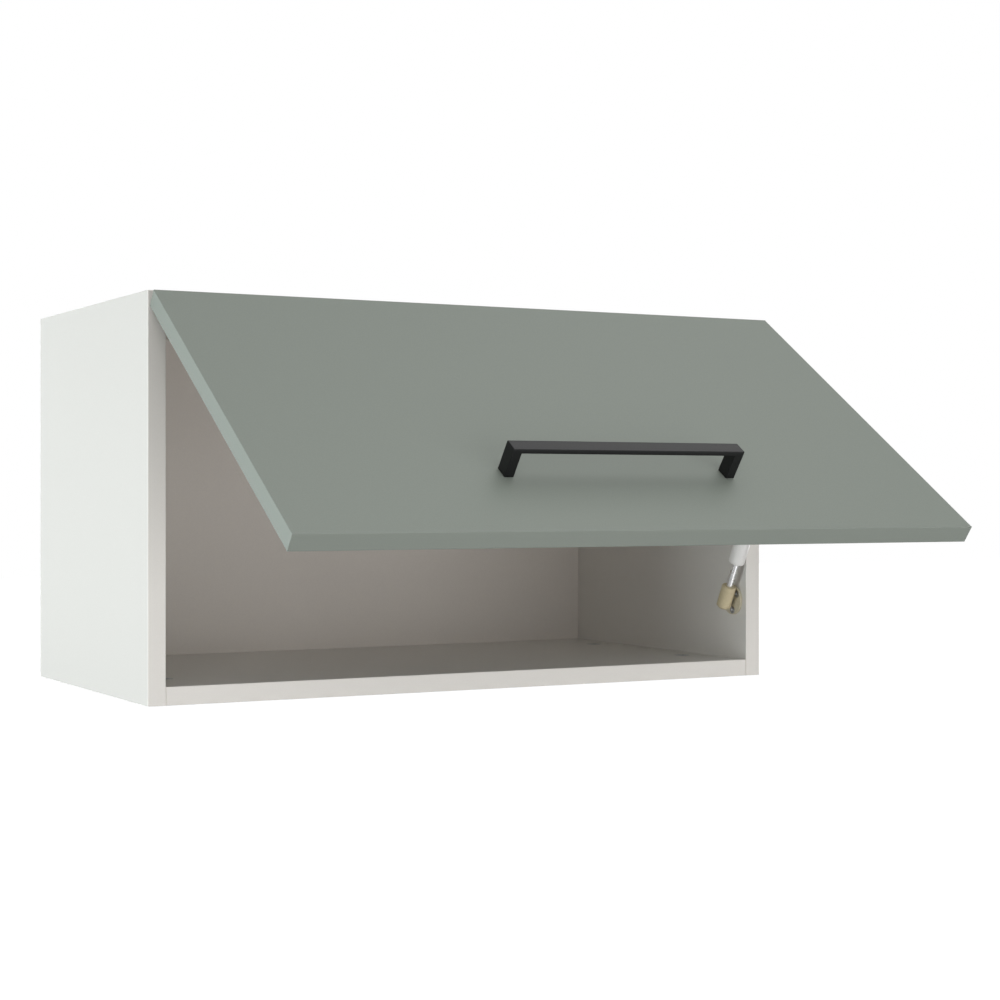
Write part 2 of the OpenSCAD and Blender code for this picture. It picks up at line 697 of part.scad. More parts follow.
// Handle screw frame: z = 0 on the door's inner face, -z through the door
module handle_screws_at() for (s = [-1, 1])
    translate([s * handle_centre, door_in_y, handle_z]) rotate([-90, 0, 0]) children();

module handle() color(c_black) on_door() difference() {
    translate([0, door_out_y, handle_z + handle_w / 2]) rotate([180, 0, 0])
        linear_extrude(height = handle_w) {
            e = handle_edge;
            h = handle_l / 2;
            polygon([[-h, 0], [-h, handle_out - e], [-h + e, handle_out], [h - e, handle_out],
                [h, handle_out - e], [h, 0], [h - handle_leg, 0],
                [h - handle_leg, handle_out - handle_bar_t], [-h + handle_leg, handle_out - handle_bar_t],
                [-h + handle_leg, 0]]);
        }
    handle_screws_at() translate([0, 0, -door_t - handle_screw_in - 1])
        cylinder(h = handle_screw_in + 2, r = handle_screw_r + fit);
}

module handle_screws() color(c_steel) on_door() handle_screws_at() difference() {
    rotate_extrude() polygon([[0, handle_head_t], [handle_head_r - handle_head_edge, handle_head_t],
        [handle_head_r, handle_head_t - handle_head_edge], [handle_head_r, 0], [handle_screw_r, 0],
        [handle_screw_r, -door_t - handle_screw_in], [0, -door_t - handle_screw_in]]);
    translate([0, 0, handle_head_t]) cross_recess(handle_head_r);
}

// ---------- Nodes ----------

in_row() side_panel_left();
in_row() side_panel_right();
in_row() top_panel();
in_row() bottom_panel();
in_row() back_panel();
in_row() edge_band_left();
in_row() edge_band_right();
in_row() edge_band_top();
in_row() edge_band_bottom();
in_row() cam_locks();
in_row() cam_bolts();
in_row() wood_dowels();
in_row() back_nails();
in_row() hanger_plate_left();
in_row() hanger_plate_right();
in_row() hanger_screws();
in_row() hinge_plate_left();
in_row() hinge_plate_right();
in_row() hinge_plate_screws();
in_row() hinge_arm_left();
in_row() hinge_arm_right();
in_row() hinge_arm_screws();
in_row() hinge_pins();
in_row() hinge_cup_left();
in_row() hinge_cup_right();
in_row() hinge_cup_screws();
in_row() strut_side_plate();
in_row() strut_side_ball();
in_row() strut_side_screws();
in_row() strut_rod_socket();
in_row() strut_rod();
in_row() strut_piston();
in_row() strut_cylinder();
in_row() strut_guide();
in_row() strut_cylinder_socket();
in_row() strut_upper_stud();
in_row() door_bracket();
in_row() door_bracket_screws();
in_row() door_panel();
in_row() door_band_top();
in_row() door_band_bottom();
in_row() door_band_left();
in_row() door_band_right();
in_row() door_bumpers();
in_row() handle();
in_row() handle_screws();
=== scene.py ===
"""Lift up wall cabinet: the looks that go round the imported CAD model.

New pieces are modelled in millimetres, in the cabinet's own coordinates (x from the
middle of the width, y from the front edges towards the wall, z up from the
underside), or in the closed door's, or along the strut. Their matrices then put
them where the CAD nodes are. Copies of CAD nodes keep the frame's metres and place.
"""
import json
from math import asin, atan2, copysign, cos, degrees, pi, radians, sin

import bmesh
import bpy
from mathutils import Matrix, Vector


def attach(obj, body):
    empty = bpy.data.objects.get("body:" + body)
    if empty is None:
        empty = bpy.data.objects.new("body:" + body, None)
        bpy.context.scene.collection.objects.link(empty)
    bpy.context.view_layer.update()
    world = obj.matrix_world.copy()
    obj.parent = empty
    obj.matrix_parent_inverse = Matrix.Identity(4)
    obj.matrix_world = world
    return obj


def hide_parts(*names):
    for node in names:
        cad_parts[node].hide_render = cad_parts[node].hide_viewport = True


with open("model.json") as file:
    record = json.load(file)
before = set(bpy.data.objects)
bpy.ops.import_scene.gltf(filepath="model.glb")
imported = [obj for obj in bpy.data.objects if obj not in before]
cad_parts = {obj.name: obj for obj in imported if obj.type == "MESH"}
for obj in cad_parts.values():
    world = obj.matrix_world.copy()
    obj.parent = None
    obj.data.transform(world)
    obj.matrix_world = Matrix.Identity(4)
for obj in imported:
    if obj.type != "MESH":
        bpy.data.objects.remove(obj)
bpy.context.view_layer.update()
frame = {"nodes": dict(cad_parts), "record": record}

# ---------- Sizes, in millimetres and degrees ----------

WIDTH, HEIGHT, DEPTH = 600, 330, 290
BOARD, BACK, BAND = 15, 3, 1
BAND_ROUND, BAND_SLANT = 0.5, 0.6
INSIDE_X, INSIDE_TOP = WIDTH / 2 - BOARD, HEIGHT - BOARD
HANGER_T, HANGER_INSET = 2, 2
HANGER_X, HANGER_Z = WIDTH / 2 - HANGER_INSET, HEIGHT - HANGER_INSET
HANGER_SCREW_EDGE = BOARD / 2 - HANGER_INSET
HANGER_SCREWS_IN, HANGER_SCREWS_DOWN = (22, 38), (12, 34)

# The door's sizes and places are those of the shut door. Its pivot and the strut's two balls,
# STUD on the door and LOWER_BALL in the cabinet, have their places as y and z
DOOR_ANGLE = 55
DOOR_PIVOT = (-12.4, HEIGHT - 8.8)
DOOR_IN, DOOR_T = -2.8, 15
DOOR_OUT = DOOR_IN - DOOR_T
DOOR_LOW, DOOR_TOP, DOOR_HALF = 1, HEIGHT - 2, WIDTH / 2 - 1
DOOR_BAND_ROUND = 0.6
HANDLE_LONG, HANDLE_LEG, HANDLE_Z = 208, 8, DOOR_LOW + 73.3
STUD = (DOOR_IN + 25, DOOR_TOP - 94)
BUMPER_X, BUMPER_Z = WIDTH / 2 - BOARD / 2, DOOR_LOW + 22
# The bumper's outline, as radius and height
BUMPER_PROFILE = [(0, 2.5), (1.6, 2.42), (2.8, 2.1), (3.6, 1.4), (4, 0.4), (4, 0), (0, 0)]

STRUT_X = INSIDE_X - 9.5
LOWER_BALL = (19.5, HEIGHT - 260.5)
SOCKET_UP, SOCKET_R, SOCKET_CLEAR = 15, 6.65, 0.6
CYLINDER_R, CYLINDER_BORE_R, CYLINDER_LONG, CYLINDER_ROUND = 7.5, 6.3, 139, 2.5
CYLINDER_LIP, CYLINDER_HEAD, HEAD_ROUND = 0.4, 6, 1
TAIL_R, TAIL_LONG = 3, 7
ROD_R, ROD_LOW, ROD_TOP, ROD_BROKEN = 3, 6, 92, 0.4
BALL_R, BALL_NECK_R = 4, 2.2
FLANGE_R, FLANGE_T, FLANGE_BROKEN = 5, 1.8, 0.3
FLANGE_X = STRUT_X - SOCKET_R - SOCKET_CLEAR - FLANGE_T
BRACKET_T, BRACKET_SCREW_X, BRACKET_SCREWS_UP = 2, FLANGE_X - 15.3, (16, -15)
SIDE_PLATE_T, SIDE_SCREWS_OUT, SIDE_SCREWS_TURN = 2, 9.6, (35, 155, 275)

HINGE_X, HINGE_BACK = WIDTH / 2 - 100, 37
HINGE_PLATE_T, HINGE_PLATE_SCREW_X = 2, 16
HINGE_ARM_Z, HINGE_ARM_SCREWS = INSIDE_TOP - 11.5, (HINGE_BACK - 7, HINGE_BACK + 14)
CUP_FLANGE_T, CUP_SCREW_X, CUP_SCREW_Z = 1, 24, DOOR_TOP - 26

# Screws: shank radius, head radius, length, and a pan head's height and rounding
SMALL_SCREW = (1.4, 3, 12)
PLATE_SCREW = (1.5, 3.5, 13)
ARM_SCREW = (2.5, 4.2, 9, 1.6, 0.5)
HANDLE_SCREW = (2, 4, 23, 2.2, 0.8)

# How far sharp edges are rounded on pressed, moulded and powder coated pieces
PRESSED_EDGE, MOULDED_EDGE, COATED_EDGE = 0.25, 0.35, 0.45

# ---------- Where the pieces go ----------

MM = Matrix.Scale(0.001, 4)
CABINET = MM @ Matrix.Translation((0, -(DEPTH + BACK), -HEIGHT / 2))
AT_PIVOT = Matrix.Translation((0, *DOOR_PIVOT))
OPENED = AT_PIVOT @ Matrix.Rotation(radians(-DOOR_ANGLE), 4, "X") @ AT_PIVOT.inverted()
DOOR = CABINET @ OPENED
STRUT_REACH = OPENED @ Vector((0, *STUD)) - Vector((0, *LOWER_BALL))
STRUT_LENGTH, STRUT_LEAN = STRUT_REACH.length, atan2(-STRUT_REACH.y, STRUT_REACH.z)
STRUT = CABINET @ Matrix.Translation((STRUT_X, *LOWER_BALL)) @ Matrix.Rotation(STRUT_LEAN, 4, "X")
CYLINDER_TOP = STRUT_LENGTH - SOCKET_UP
CYLINDER_LOW = CYLINDER_TOP - CYLINDER_LONG
TO_WALL, DOWN, TO_LEFT, TO_RIGHT = (
    Matrix.Rotation(radians(-90), 4, "X"), Matrix.Rotation(pi, 4, "X"),
    Matrix.Rotation(radians(-90), 4, "Y"), Matrix.Rotation(radians(90), 4, "Y"))


def at(x, y, z, turn=Matrix()):
    """A place in millimetres, and the way that z points there."""
    return Matrix.Translation((x, y, z)) @ turn


def on_both_sides(places):
    """The places, and their mirror images across the cabinet's middle."""
    flip = Matrix.Scale(-1, 4, (1, 0, 0))
    return list(places) + [flip @ place for place in places]


# ---------- Camera, lights and floor: places in metres, the lens in millimetres ----------

CAMERA_AT, CAMERA_TURN = (-0.8281, -1.7594, 0.0034), (90, 0, -27.155)
SENSOR, LENS, SHIFT_X, SHIFT_Y = 36, 70.34, 0.1, -0.006
FLOOR_HALF, FLOOR_Z = 30, -1.4
AIM = Vector((0, -0.3, 0))
LIGHT_AWAY = 2.6
SKY = (0.0, 0.02, 0.7)                   # light from below, the horizon and above
MIRRORED = 0.45                          # how bright the studio's walls look in shiny surfaces
# Name, azimuth from the front (minus is left), elevation, size, watts, colour
LIGHTS = [
    ("left_softbox", -90, -5, 1.2, 38, "#f6feff"),
    ("left_rear_softbox", -130, -5, 1.2, 13, "#f6feff"),
    ("front_softbox", 15, -20, 2.6, 43, "#ffffff"),
    ("front_left_softbox", -25, -12, 2.6, 13, "#ffffff"),
    ("upper_front_softbox", -30, 16, 1.2, 8, "#ffffff"),
    ("overhead_softbox", 90, 66, 2.2, 17, "#ffffff"),
    ("right_rear_softbox", 115, 0, 1.2, 26, "#ffffff"),
    ("rear_softbox", 180, 5, 1.2, 24, "#ffffff"),
]

scene = bpy.context.scene
scene.view_settings.view_transform = "Standard"
scene.view_settings.look = "None"


def linear(code):
    """An sRGB hex colour as linear RGBA."""
    parts = [int(code[i:i + 2], 16) / 255 for i in (1, 3, 5)]
    return tuple(c / 12.92 if c <= 0.04045 else ((c + 0.055) / 1.055) ** 2.4 for c in parts) + (1,)


def add(tree, kind, sockets=None, **settings):
    """Adds a node, sets its settings, then fills or links its sockets."""
    new = tree.nodes.new(kind)
    for name, value in settings.items():
        setattr(new, name, value)
    for name, value in (sockets or {}).items():
        if isinstance(value, bpy.types.NodeSocket):
            tree.links.new(value, new.inputs[name])
        else:
            new.inputs[name].default_value = value
    return new


def put_camera():
    """The photograph's view: level, from the left, with its frame shifted sideways."""
    camera = bpy.data.cameras.new("camera")
    camera.sensor_width = SENSOR
    camera.lens = LENS
    camera.shift_x, camera.shift_y = SHIFT_X, SHIFT_Y
    holder = bpy.data.objects.new("camera", camera)
    holder.location = CAMERA_AT
    holder.rotation_euler = [radians(turn) for turn in CAMERA_TURN]
    scene.collection.objects.link(holder)
    scene.camera = holder


def put_light(name, azimuth, elevation, size, watts, colour):
    """A square softbox that looks at the cabinet from a direction."""
    light = bpy.data.lights.new(name, "AREA")
    light.shape = "SQUARE"
    light.size = size
    light.energy = watts
    light.color = linear(colour)[:3]
    holder = bpy.data.objects.new(name, light)
    away = Vector((sin(radians(azimuth)) * cos(radians(elevation)),
                   -cos(radians(azimuth)) * cos(radians(elevation)), sin(radians(elevation))))
    holder.location = AIM + away * LIGHT_AWAY
    holder.rotation_euler = away.to_track_quat("Z", "Y").to_euler()
    scene.collection.objects.link(holder)


def put_world():
    """Soft light from above and hardly any from the sides. Shiny surfaces mirror brighter
    walls, and to the eye the studio is plain white."""
    world = bpy.data.worlds.new("studio")
    world.use_nodes = True
    tree = world.node_tree
    tree.nodes.clear()
    way = add(tree, "ShaderNodeTexCoord").outputs["Generated"]
    up = add(tree, "ShaderNodeSeparateXYZ", {"Vector": way}).outputs["Z"]
    low = add(tree, "ShaderNodeMapRange", {"Value": up, "From Min": -1, "From Max": 0,
              "To Min": SKY[0], "To Max": SKY[1]}).outputs["Result"]
    level = add(tree, "ShaderNodeMapRange", {"Value": up, "From Min": 0, "From Max": 1,
                "To Min": low, "To Max": SKY[2]}).outputs["Result"]
    ray = add(tree, "ShaderNodeLightPath").outputs
    mirrored = add(tree, "ShaderNodeMath", {0: ray["Is Glossy Ray"], 1: MIRRORED},
                   operation="MULTIPLY").outputs["Value"]
    strength = add(tree, "ShaderNodeMath", {0: level, 1: mirrored},
                   operation="MAXIMUM").outputs["Value"]
    around = add(tree, "ShaderNodeBackground", {"Strength": strength}).outputs["Background"]
    white = add(tree, "ShaderNodeBackground", {"Color": (1, 1, 1, 1)}).outputs["Background"]
    both = add(tree, "ShaderNodeMixShader", {0: ray["Is Camera Ray"], 1: around, 2: white})
    add(tree, "ShaderNodeOutputWorld", {"Surface": both.outputs["Shader"]})
    scene.world = world


def put_floor():
    """White paper far below, so that nothing of the cabinet's shadow shows."""
    paper = bpy.data.materials.new("white_studio_paper")
    paper.use_nodes = True
    tree = paper.node_tree
    tree.nodes.clear()
    shader = add(tree, "ShaderNodeBsdfPrincipled", {
        "Base Color": linear("#f4f4f3"), "Roughness": 0.95,
        "Emission Color": (1, 1, 1, 1), "Emission Strength": 0.7})
    add(tree, "ShaderNodeOutputMaterial", {"Surface": shader.outputs["BSDF"]})
    bm = bmesh.new()
    bmesh.ops.create_grid(bm, x_segments=1, y_segments=1, size=FLOOR_HALF)
    mesh = bpy.data.meshes.new("floor")
    bm.to_mesh(mesh)
    bm.free()
    mesh.materials.append(paper)
    floor = bpy.data.objects.new("floor", mesh)
    floor.location = (0, 0, FLOOR_Z)
    floor.visible_diffuse = floor.visible_glossy = False
    scene.collection.objects.link(floor)


put_camera()
put_world()
put_floor()
for light in LIGHTS:
    put_light(*light)

# ---------- Materials ----------

# The grain's noise runs from one tone to the other between these two levels
NOISE_LOW, NOISE_HIGH = 0.3, 0.7
# How far the roughness strays below and above a finish's own, and that of a raw board
GLOSSIER, DULLER, RAW_ROUGHNESS = 0.05, 0.07, 0.85
RELIEF_STRENGTH = 0.5


def finish(name, light, dark, roughness, grain, relief, more=None, stretch=(1, 1, 1), rear=None):
    """A whole finish with one fine grain. The grain's size and relief are in millimetres, and
    it shades the colour from one tone to the other, dulls the gloss unevenly and raises the
    surface. A board's raw rear has chips instead: rear gives the plane in millimetres in
    front of the wall, the chips' size and their two tones."""
    material = bpy.data.materials.new(name)
    material.use_nodes = True
    tree = material.node_tree
    tree.nodes.clear()
    coords = add(tree, "ShaderNodeTexCoord").outputs["Object"]
    placed = add(tree, "ShaderNodeMapping", {"Vector": coords, "Scale": stretch}).outputs["Vector"]
    noise = add(tree, "ShaderNodeTexNoise", {"Vector": placed, "Scale": 1000 / grain,
                "Detail": 3.0}).outputs["Fac"]
    even = add(tree, "ShaderNodeMapRange", {"Value": noise, "From Min": NOISE_LOW,
               "From Max": NOISE_HIGH}).outputs["Result"]
    colour = add(tree, "ShaderNodeMix", {0: even, 6: linear(light), 7: linear(dark)},
                 data_type="RGBA").outputs[2]
    gloss = add(tree, "ShaderNodeMapRange", {"Value": even, "To Min": roughness - GLOSSIER,
                "To Max": roughness + DULLER}).outputs["Result"]
    if rear:
        plane, chip, pale, deep = rear
        cells = add(tree, "ShaderNodeTexVoronoi", {"Vector": coords, "Scale": 1000 / chip})
        tone = add(tree, "ShaderNodeSeparateColor", {"Color": cells.outputs["Color"]})
        raw = add(tree, "ShaderNodeMix", {0: tone.outputs["Red"], 6: linear(deep),
                  7: linear(pale)}, data_type="RGBA").outputs[2]
        back = add(tree, "ShaderNodeSeparateXYZ", {"Vector": coords}).outputs["Y"]
        past = add(tree, "ShaderNodeMath", {0: back, 1: -plane / 1000},
                   operation="GREATER_THAN").outputs["Value"]
        colour = add(tree, "ShaderNodeMix", {0: past, 6: colour, 7: raw},
                     data_type="RGBA").outputs[2]
        gloss = add(tree, "ShaderNodeMapRange", {"Value": past, "To Min": gloss,
                    "To Max": RAW_ROUGHNESS}).outputs["Result"]
    raised = add(tree, "ShaderNodeBump", {"Height": even, "Distance": relief / 1000,
                 "Strength": RELIEF_STRENGTH}).outputs["Normal"]
    shader = add(tree, "ShaderNodeBsdfPrincipled", {
        "Base Color": colour, "Roughness": gloss, "Normal": raised, **(more or {})})
    add(tree, "ShaderNodeOutputMaterial", {"Surface": shader.outputs["BSDF"]})
    return material


METAL = {"Metallic": 1.0}
PLASTIC = {"IOR": 1.5}

# Melamine faced particle board: pressed between steel plates, so it is flat and even, with a
# pearl grain too fine for the eye, drawn at 0.9 mm. Sawn edges at the rear show the chips
BOARD_WHITE = finish("white_melamine_board", "#e3e0db", "#e1ded9", 0.42, 0.9, 0.012, PLASTIC,
                     rear=(BACK + 0.05, 2.2, "#cdb083", "#9a7b52"))
# Hardboard lacquered on its face: a little warmer and duller than the boards; its rear is
# raw brown fibre
BACK_WHITE = finish("lacquered_hardboard", "#e2dbd4", "#dfd8d1", 0.52, 1.2, 0.02, PLASTIC,
                    rear=(BACK - 0.2, 1.1, "#946b43", "#6b4a2e"))
# ABS edge band: extruded, with a fine matt grain, a shade warmer than the board
BAND_WHITE = finish("white_abs_edging", "#f1ede7", "#eeeae4", 0.45, 0.7, 0.01, PLASTIC)
# Sprayed matt lacquer on the door: dead even, and its spray grain breaks up all reflections
DOOR_GREEN = finish("sage_lacquer", "#90988f", "#8e968d", 0.55, 0.8, 0.015, PLASTIC)
# The door's edge band is extruded in the same colour, a little smoother
BAND_GREEN = finish("sage_abs_edging", "#90978f", "#8e958d", 0.5, 0.7, 0.01, PLASTIC)
# Powder coat on aluminium: black and satin, with a sandy orange peel that swallows much of
# the shine
BLACK_COAT = finish("black_powder_coat", "#0d0e0f", "#131415", 0.36, 0.6, 0.03, {
    "IOR": 1.5, "Specular IOR Level": 0.3})
# Bright zinc plating on pressed steel: bluish, satin, faintly cloudy
ZINC = finish("zinc_plated_steel", "#c4c7ca", "#adb1b5", 0.34, 3, 0.006, METAL)
# Nickel plating: warmer and glossier than zinc
NICKEL = finish("nickel_plated_steel", "#d3d1cc", "#c4c2bc", 0.22, 6, 0.004, METAL)
# Zinc plating on cold headed screws: brighter, with small cloudy spots
SCREW_STEEL = finish("zinc_plated_screw_steel", "#c9cbcd", "#a7aaae", 0.28, 1.5, 0.006, METAL)
# Hard chrome on a ground rod: very bright, with soft edged reflections along it
CHROME = finish("hard_chromed_rod", "#f8f8f9", "#f4f4f5", 0.27, 10, 0.002, METAL)
# Acetal, moulded: waxy and satin, with faint flow marks
TAN_PLASTIC = finish("tan_acetal", "#d0c2a0", "#c8ba98", 0.42, 2.5, 0.008, PLASTIC)
# Nylon, moulded: black and matt
BLACK_PLASTIC = finish("black_nylon", "#17181a", "#1e2022", 0.5, 0.6, 0.01, PLASTIC)
# Stove enamel on the strut's tube: smooth, with the softest orange peel
WHITE_ENAMEL = finish("white_enamelled_tube", "#fbf9f6", "#f8f6f3", 0.3, 1.4, 0.01, PLASTIC)
# Olive paint on the pressed plate: thin and satin
OLIVE_PAINT = finish("olive_painted_steel", "#d2cab3", "#c8c0a9", 0.45, 1.6, 0.012, PLASTIC)
# Beech dowel: pale brown wood with short dark flecks along its length
BEECH = finish("beech_dowel", "#d6b384", "#b98d5d", 0.6, 0.5, 0.03, PLASTIC, (0.12, 1, 1))
# Cast polyurethane bumper: milky and soft, and it lets light in
PAD = finish("clear_polyurethane", "#dfe0dd", "#d5d7d3", 0.3, 1.5, 0.01, {
    "IOR": 1.49, "Subsurface Weight": 0.6, "Subsurface Radius": (0.002, 0.002, 0.002)})

NODES_OF = {
    BOARD_WHITE: "side_panel_left side_panel_right top_panel bottom_panel",
    BACK_WHITE: "back_panel",
    BAND_WHITE: "edge_band_left edge_band_right edge_band_top edge_band_bottom",
    ZINC: "cam_locks cam_bolts hanger_plate_left hanger_plate_right door_bracket",
    NICKEL: "hinge_plate_left hinge_plate_right hinge_arm_left hinge_arm_right hinge_cup_left"
            " hinge_cup_right",
    SCREW_STEEL: "back_nails hanger_screws hinge_plate_screws hinge_arm_screws hinge_pins"
                 " hinge_cup_screws strut_side_ball strut_side_screws strut_upper_stud"
                 " door_bracket_screws handle_screws",
    BEECH: "wood_dowels",
    OLIVE_PAINT: "strut_side_plate",
    TAN_PLASTIC: "strut_rod_socket strut_cylinder_socket",
    CHROME: "strut_rod",
    BLACK_PLASTIC: "strut_piston strut_guide",
    WHITE_ENAMEL: "strut_cylinder",
    DOOR_GREEN: "door_panel",
    BAND_GREEN: "door_band_top door_band_bottom door_band_left door_band_right",
    PAD: "door_bumpers",
    BLACK_COAT: "handle",
}
MATERIAL_OF = {node: material for material, nodes in NODES_OF.items() for node in nodes.split()}
for node, material in MATERIAL_OF.items():
    for place in frame["nodes"][node].material_slots:
        place.material = material
BODY_OF = {node: body for body, nodes in frame["record"]["behaviour"]["bodies"].items()
           for node in nodes}

# ---------- Shapes ----------

SMOOTH_BELOW = 35                        # angle in degrees past which an edge stays sharp
EASED_FROM = 40                          # angle in degrees past which an edge is rounded
STEPS, SMALL_STEPS = 64, 32              # flats round a turned piece


def fitted(bm, name, place, node):
    """Puts a shape in its place as the piece that stands for a node."""
    bm.transform(place)
    bmesh.ops.remove_doubles(bm, verts=bm.verts, dist=1e-7)
    bmesh.ops.recalc_face_normals(bm, faces=bm.faces)
    mesh = bpy.data.meshes.new(name)
    bm.to_mesh(mesh)
    bm.free()
    mesh.shade_smooth()
    mesh.set_sharp_from_angle(angle=radians(SMOOTH_BELOW))
    mesh.materials.append(MATERIAL_OF[node])
    piece = bpy.data.objects.new(name, mesh)
    scene.collection.objects.link(piece)
    even = piece.modifiers.new("flat_faces_stay_flat", "WEIGHTED_NORMAL")
    even.keep_sharp = True
    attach(piece, BODY_OF[node])
    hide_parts(node)


def block(x, y, z):
    """A block between two corners."""
    bm = bmesh.new()
    bmesh.ops.create_cube(bm, size=1)
    bmesh.ops.scale(bm, verts=bm.verts, vec=(x[1] - x[0], y[1] - y[0], z[1] - z[0]))
    bmesh.ops.translate(bm, verts=bm.verts, vec=(sum(x) / 2, sum(y) / 2, sum(z) / 2))
    return bm


def soften(bm, edges, width, steps=3):
    """Rounds edges."""
    bmesh.ops.bevel(bm, geom=edges, offset=width, offset_type="OFFSET", segments=steps,
                    profile=0.5, affect="EDGES", material=-1)


def edges_on(bm, axis, value):
    """The edges that lie in a plane across an axis."""
    return [e for e in bm.edges if all(abs(v.co[axis] - value) < 1e-4 for v in e.verts)]


def arc(centre, radius, start, end, steps):
    """Points (radius, height) of an arc, its angles in degrees from straight down."""
    turns = [radians(start + (end - start) * i / steps) for i in range(steps + 1)]
    return [(centre[0] + radius * sin(a), centre[1] - radius * cos(a)) for a in turns]


def turned(profile, steps=STEPS):
    """A shape turned about z from points (radius, height)."""
    bm = bmesh.new()
    row = [bm.verts.new((r, 0, z)) for r, z in profile]
    edges = [bm.edges.new(pair) for pair in zip(row, row[1:])]
    bmesh.ops.spin(bm, geom=row + edges, cent=(0, 0, 0), axis=(0, 0, 1), angle=2 * pi,
                   steps=steps, use_merge=True)
    bmesh.ops.remove_doubles(bm, verts=bm.verts, dist=1e-4)
    return bm


def copied(single, places):
    """The same shape at several places, as one mesh."""
    mesh = bpy.data.meshes.new("pattern")
    single.to_mesh(mesh)
    single.free()
    bm = bmesh.new()
    for place in places:
        before = set(bm.verts)
        bm.from_mesh(mesh)
        bmesh.ops.transform(bm, matrix=place, verts=[v for v in bm.verts if v not in before])
    bpy.data.meshes.remove(mesh)
    return bm


def eased(node, width):
    """A merged copy of a CAD node, with its sharp edges rounded by a width in millimetres."""
    bm = bmesh.new()
    bm.from_mesh(frame["nodes"][node].data)
    bmesh.ops.remove_doubles(bm, verts=bm.verts, dist=1e-6)
    bmesh.ops.dissolve_limit(bm, angle_limit=radians(0.5), verts=bm.verts, edges=bm.edges)
    bmesh.ops.triangulate(bm, faces=bm.faces, quad_method="BEAUTY", ngon_method="BEAUTY")
    sharp = [e for e in bm.edges if e.is_manifold and e.calc_face_angle() > radians(EASED_FROM)]
    soften(bm, sharp, width / 1000, 2)
    fitted(bm, node + "_eased", Matrix(), node)


# ---------- Screws ----------

# The cross recess, in parts of the head's radius, and how much of its width its floor keeps
CROSS_REACH, CROSS_HALF, CROSS_DEEP, CROSS_FLOOR = 0.55, 0.12, 0.3, 0.6
# A pan head's rounded edge, in parts of its rounding: how far in from the side, and down
PAN_EDGE = [(1.6, 0), (0.8, 0.25), (0.2, 0.85), (0, 1.4)]
# A countersunk head's broken edge: how far in it starts on top, and how far it takes the side
SUNK_IN, SUNK_BROKEN = 0.25, 0.1


def screw(shank, head, length, top=0.0, edge=0.0):
    """A screw along -z with a tapered cross recess. Its head is countersunk up to z = 0, or a
    pan head of height top with a rounded edge."""
    if top:
        outline = [(head - inward * edge, top - down * edge) for inward, down in PAN_EDGE]
        outline += [(head, 0), (shank, 0), (shank, -length), (0, -length)]
    else:
        outline = [(head - SUNK_IN, 0), (head - SUNK_BROKEN, -SUNK_BROKEN), (shank, shank - head),
                   (shank, 2 * shank - length), (0, -length)]
    rim = outline[0][0]
    bm = turned(outline, SMALL_STEPS)
    bmesh.ops.create_circle(bm, segments=SMALL_STEPS, radius=rim,
                            matrix=Matrix.Translation((0, 0, top)))
    circle = [e for e in bm.edges if e.is_wire]
    reach, half = CROSS_REACH * head, CROSS_HALF * head
    corners = [(reach, -half), (reach, half), (half, half)]
    ring = [bm.verts.new(Matrix.Rotation(quarter * pi / 2, 3, "Z") @ Vector((x, y, top)))
            for quarter in range(4) for x, y in corners]
    cross = [bm.edges.new(pair) for pair in zip(ring, ring[1:] + ring[:1])]
    bmesh.ops.triangle_fill(bm, edges=circle + cross, use_beauty=True)
    sunk = bmesh.ops.extrude_edge_only(bm, edges=cross)["geom"]
    low = [v for v in sunk if isinstance(v, bmesh.types.BMVert)]
    bmesh.ops.scale(bm, verts=low, vec=(CROSS_FLOOR, CROSS_FLOOR, 1))
    bmesh.ops.translate(bm, verts=low, vec=(0, 0, -CROSS_DEEP * head))
    bmesh.ops.edgeloop_fill(bm, edges=[e for e in sunk if isinstance(e, bmesh.types.BMEdge)
                                       and all(v in low for v in e.verts)])
    return bm


